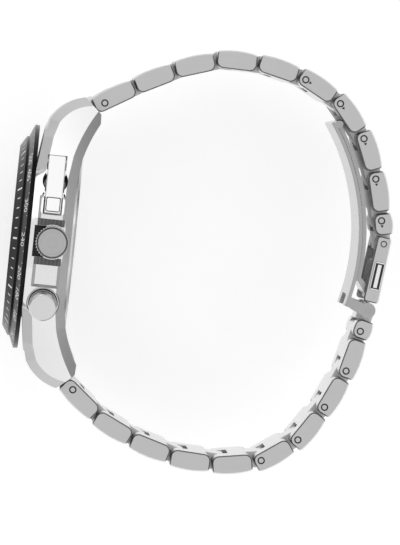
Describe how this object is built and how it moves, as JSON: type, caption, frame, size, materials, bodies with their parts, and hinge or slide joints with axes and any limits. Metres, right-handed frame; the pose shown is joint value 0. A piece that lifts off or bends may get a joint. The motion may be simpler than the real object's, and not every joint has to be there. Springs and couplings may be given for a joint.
{
  "type": "wristwatch",
  "caption": "Steel chronograph wristwatch on a closed link bracelet with a folding clasp, black two-step bezel, crown, lever pusher and round pusher.",
  "frame": {"origin": "centre of the case back's outer face", "axes": "+Z to 3 o'clock along the crown's axis (up, the watch lies on its 9 o'clock flank), +Y out of the case back, -Y out of the dial, +X to 6 o'clock, -X to 12 o'clock; bracelet pins run along Z"},
  "size_m": [0.079, 0.0712, 0.0466],
  "materials": {
    "polished_steel": "polished",
    "brushed_steel": "brushed",
    "dark_steel": "ribbed",
    "black_bezel": "satin black",
    "crystal": "clear",
    "dial": "satin black",
    "chapter_ring": "matte",
    "gasket": "matte",
    "movement_metal": "satin",
    "holder_plastic": "moulded",
    "plated_trim": "polished",
    "chronograph_red": "gloss"
  },
  "bodies": {
    "case": {"case_middle": "polished_steel", "case_back": "polished_steel", "case_back_gasket": "gasket", "bezel_outer_ring": "black_bezel", "bezel_front_ring": "black_bezel", "crystal": "crystal", "crystal_gasket": "gasket", "chapter_ring": "chapter_ring", "dial": "dial", "hour_markers": "plated_trim", "subdial_rings": "plated_trim", "movement": "movement_metal", "battery": "plated_trim", "movement_holder": "holder_plastic", "crown_tube": "brushed_steel", "crown_grips": "dark_steel", "pusher_tubes": "brushed_steel", "pusher_springs": "brushed_steel", "lever_pin": "brushed_steel", "end_link_12": "brushed_steel", "end_link_6": "brushed_steel", "spring_bars": "brushed_steel"},
    "crown_slide": {"winding_stem": "brushed_steel"},
    "crown": {"crown": "polished_steel"},
    "start_lever": {"start_lever": "polished_steel"},
    "start_pusher": {"start_pusher": "polished_steel"},
    "reset_pusher": {"reset_pusher": "polished_steel"},
    "hour_hand": {"hour_hand": "plated_trim"},
    "minute_hand": {"minute_hand": "plated_trim"},
    "chronograph_hand": {"chronograph_hand": "chronograph_red"},
    "subdial_hand_12": {"subdial_hand_12": "plated_trim"},
    "subdial_hand_6": {"subdial_hand_6": "plated_trim"},
    "subdial_hand_9": {"subdial_hand_9": "plated_trim"},
    "upper_link_1": {"upper_link_1": "brushed_steel"},
    "upper_link_2": {"upper_link_2": "brushed_steel"},
    "upper_link_3": {"upper_link_3": "brushed_steel"},
    "upper_link_4": {"upper_link_4": "brushed_steel"},
    "upper_link_5": {"upper_link_5": "brushed_steel"},
    "upper_link_6": {"upper_link_6": "brushed_steel"},
    "upper_link_7": {"upper_link_7": "brushed_steel"},
    "upper_link_8": {"upper_link_8": "brushed_steel"},
    "upper_link_9": {"upper_link_9": "brushed_steel"},
    "upper_half_link": {"upper_half_link": "brushed_steel"},
    "clasp_frame": {"clasp_frame": "brushed_steel"},
    "clasp_button_3": {"clasp_button_3": "polished_steel"},
    "clasp_button_9": {"clasp_button_9": "polished_steel"},
    "clasp_blade": {"clasp_blade": "polished_steel"},
    "clasp_plate": {"clasp_plate": "polished_steel"},
    "lower_link_1": {"lower_link_1": "brushed_steel"},
    "lower_link_2": {"lower_link_2": "brushed_steel"},
    "lower_link_3": {"lower_link_3": "brushed_steel"},
    "lower_link_4": {"lower_link_4": "brushed_steel"},
    "lower_link_5": {"lower_link_5": "brushed_steel"},
    "lower_link_6": {"lower_link_6": "brushed_steel"},
    "lower_link_7": {"lower_link_7": "brushed_steel"},
    "lower_link_8": {"lower_link_8": "brushed_steel"},
    "lower_link_9": {"lower_link_9": "brushed_steel"},
    "lower_half_link": {"lower_half_link": "brushed_steel"}
  },
  "joints": [
    {"name": "crown_pull", "type": "slide", "parent": "case", "child": "crown_slide", "axis": [0, 0, 1], "range_m": [0, 0.0012]},
    {"name": "crown_turn", "type": "hinge", "parent": "crown_slide", "child": "crown", "pos_m": [0, -0.0043, 0.022], "axis": [0, 0, 1], "continuous": true},
    {"name": "start_lever_press", "type": "hinge", "parent": "case", "child": "start_lever", "pos_m": [-0.01491, -0.0048, 0.01788], "axis": [0, 1, 0], "range_deg": [0, 3.5], "stiffness_Nm_per_rad": 0.02},
    {"name": "start_pusher_slide", "type": "slide", "parent": "case", "child": "start_pusher", "axis": [0.2756, 0, -0.9613], "range_m": [0, 0.000368]},
    {"name": "reset_pusher_press", "type": "slide", "parent": "case", "child": "reset_pusher", "axis": [-0.2756, 0, -0.9613], "range_m": [0, 0.00085], "stiffness_N_per_m": 400},
    {"name": "hour_hand_turn", "type": "hinge", "parent": "case", "child": "hour_hand", "pos_m": [0, -0.0085, 0], "axis": [0, 1, 0], "continuous": true},
    {"name": "minute_hand_turn", "type": "hinge", "parent": "case", "child": "minute_hand", "pos_m": [0, -0.0085, 0], "axis": [0, 1, 0], "continuous": true},
    {"name": "chronograph_hand_turn", "type": "hinge", "parent": "case", "child": "chronograph_hand", "pos_m": [0, -0.0085, 0], "axis": [0, 1, 0], "continuous": true},
    {"name": "subdial_hand_12_turn", "type": "hinge", "parent": "case", "child": "subdial_hand_12", "pos_m": [-0.007, -0.0085, 0], "axis": [0, 1, 0], "continuous": true},
    {"name": "subdial_hand_6_turn", "type": "hinge", "parent": "case", "child": "subdial_hand_6", "pos_m": [0.007, -0.0085, 0], "axis": [0, 1, 0], "continuous": true},
    {"name": "subdial_hand_9_turn", "type": "hinge", "parent": "case", "child": "subdial_hand_9", "pos_m": [0, -0.0085, -0.007], "axis": [0, 1, 0], "continuous": true},
    {"name": "upper_link_1_hinge", "type": "hinge", "parent": "case", "child": "upper_link_1", "pos_m": [-0.0265, 0.003, 0], "axis": [0, 0, 1], "range_deg": [0, 12]},
    {"name": "upper_link_2_hinge", "type": "hinge", "parent": "upper_link_1", "child": "upper_link_2", "pos_m": [-0.03057, 0.00977, 0], "axis": [0, 0, 1], "range_deg": [0, 10]},
    {"name": "upper_link_3_hinge", "type": "hinge", "parent": "upper_link_2", "child": "upper_link_3", "pos_m": [-0.03416, 0.01681, 0], "axis": [0, 0, 1], "range_deg": [0, 15]},
    {"name": "upper_link_4_hinge", "type": "hinge", "parent": "upper_link_3", "child": "upper_link_4", "pos_m": [-0.0366, 0.02432, 0], "axis": [0, 0, 1], "range_deg": [0, 25]},
    {"name": "upper_link_5_hinge", "type": "hinge", "parent": "upper_link_4", "child": "upper_link_5", "pos_m": [-0.03646, 0.03222, 0], "axis": [0, 0, 1], "range_deg": [0, 18]},
    {"name": "upper_link_6_hinge", "type": "hinge", "parent": "upper_link_5", "child": "upper_link_6", "pos_m": [-0.03468, 0.03992, 0], "axis": [0, 0, 1], "range_deg": [0, 21.5]},
    {"name": "upper_link_7_hinge", "type": "hinge", "parent": "upper_link_6", "child": "upper_link_7", "pos_m": [-0.03091, 0.04686, 0], "axis": [0, 0, 1], "range_deg": [0, 27.5]},
    {"name": "upper_link_8_hinge", "type": "hinge", "parent": "upper_link_7", "child": "upper_link_8", "pos_m": [-0.02486, 0.05194, 0], "axis": [0, 0, 1], "range_deg": [0, 23.5]},
    {"name": "upper_link_9_hinge", "type": "hinge", "parent": "upper_link_8", "child": "upper_link_9", "pos_m": [-0.01756, 0.05496, 0], "axis": [0, 0, 1], "range_deg": [0, 14.5]},
    {"name": "upper_half_link_hinge", "type": "hinge", "parent": "upper_link_9", "child": "upper_half_link", "pos_m": [-0.0099, 0.05688, 0], "axis": [0, 0, 1], "range_deg": [0, 8.5]},
    {"name": "clasp_frame_hinge", "type": "hinge", "parent": "upper_half_link", "child": "clasp_frame", "pos_m": [-0.00558, 0.05775, 0], "axis": [0, 0, 1], "range_deg": [0, 24.5]},
    {"name": "clasp_button_3_press", "type": "slide", "parent": "clasp_frame", "child": "clasp_button_3", "axis": [0, 0, -1], "range_m": [0, 0.0006], "stiffness_N_per_m": 300},
    {"name": "clasp_button_9_press", "type": "slide", "parent": "clasp_frame", "child": "clasp_button_9", "axis": [0, 0, 1], "range_m": [0, 0.0006], "stiffness_N_per_m": 300},
    {"name": "clasp_unfold", "type": "hinge", "parent": "clasp_frame", "child": "clasp_blade", "pos_m": [0.00434, 0.05653, 0], "axis": [0, 0, 1], "range_deg": [0, 45]},
    {"name": "clasp_plate_unfold", "type": "hinge", "parent": "clasp_blade", "child": "clasp_plate", "pos_m": [-0.02713, 0.04725, 0], "axis": [0, 0, 1], "range_deg": [-90.5, 0]},
    {"name": "lower_link_1_hinge", "type": "hinge", "parent": "case", "child": "lower_link_1", "pos_m": [0.0273, 0.0025, 0], "axis": [0, 0, 1], "range_deg": [-12, 0]},
    {"name": "lower_link_2_hinge", "type": "hinge", "parent": "lower_link_1", "child": "lower_link_2", "pos_m": [0.03232, 0.0086, 0], "axis": [0, 0, 1], "range_deg": [-20, 0]},
    {"name": "lower_link_3_hinge", "type": "hinge", "parent": "lower_link_2", "child": "lower_link_3", "pos_m": [0.03573, 0.01573, 0], "axis": [0, 0, 1], "range_deg": [-15, 0]},
    {"name": "lower_link_4_hinge", "type": "hinge", "parent": "lower_link_3", "child": "lower_link_4", "pos_m": [0.03797, 0.0233, 0], "axis": [0, 0, 1], "range_deg": [-19.5, 0]},
    {"name": "lower_link_5_hinge", "type": "hinge", "parent": "lower_link_4", "child": "lower_link_5", "pos_m": [0.03838, 0.03119, 0], "axis": [0, 0, 1], "range_deg": [-18.5, 0]},
    {"name": "lower_link_6_hinge", "type": "hinge", "parent": "lower_link_5", "child": "lower_link_6", "pos_m": [0.03708, 0.03898, 0], "axis": [0, 0, 1], "range_deg": [-31.5, 0]},
    {"name": "lower_link_7_hinge", "type": "hinge", "parent": "lower_link_6", "child": "lower_link_7", "pos_m": [0.03255, 0.04545, 0], "axis": [0, 0, 1], "range_deg": [-27.5, 0]},
    {"name": "lower_link_8_hinge", "type": "hinge", "parent": "lower_link_7", "child": "lower_link_8", "pos_m": [0.02596, 0.04981, 0], "axis": [0, 0, 1], "range_deg": [-14.5, 0]},
    {"name": "lower_link_9_hinge", "type": "hinge", "parent": "lower_link_8", "child": "lower_link_9", "pos_m": [0.0188, 0.05315, 0], "axis": [0, 0, 1], "range_deg": [-17, 0]},
    {"name": "lower_half_link_hinge", "type": "hinge", "parent": "lower_link_9", "child": "lower_half_link", "pos_m": [0.01114, 0.05506, 0], "axis": [0, 0, 1], "range_deg": [-6.3, 0]}
  ],
  "couplings": [
    {"joint": "clasp_plate_unfold", "follows": "clasp_unfold", "ratio": -2},
    {"joint": "start_pusher_slide", "follows": "start_lever_press", "m_per_rad": 0.0059},
    {"joint": "hour_hand_turn", "follows": "minute_hand_turn", "ratio": 0.083333}
  ]
}
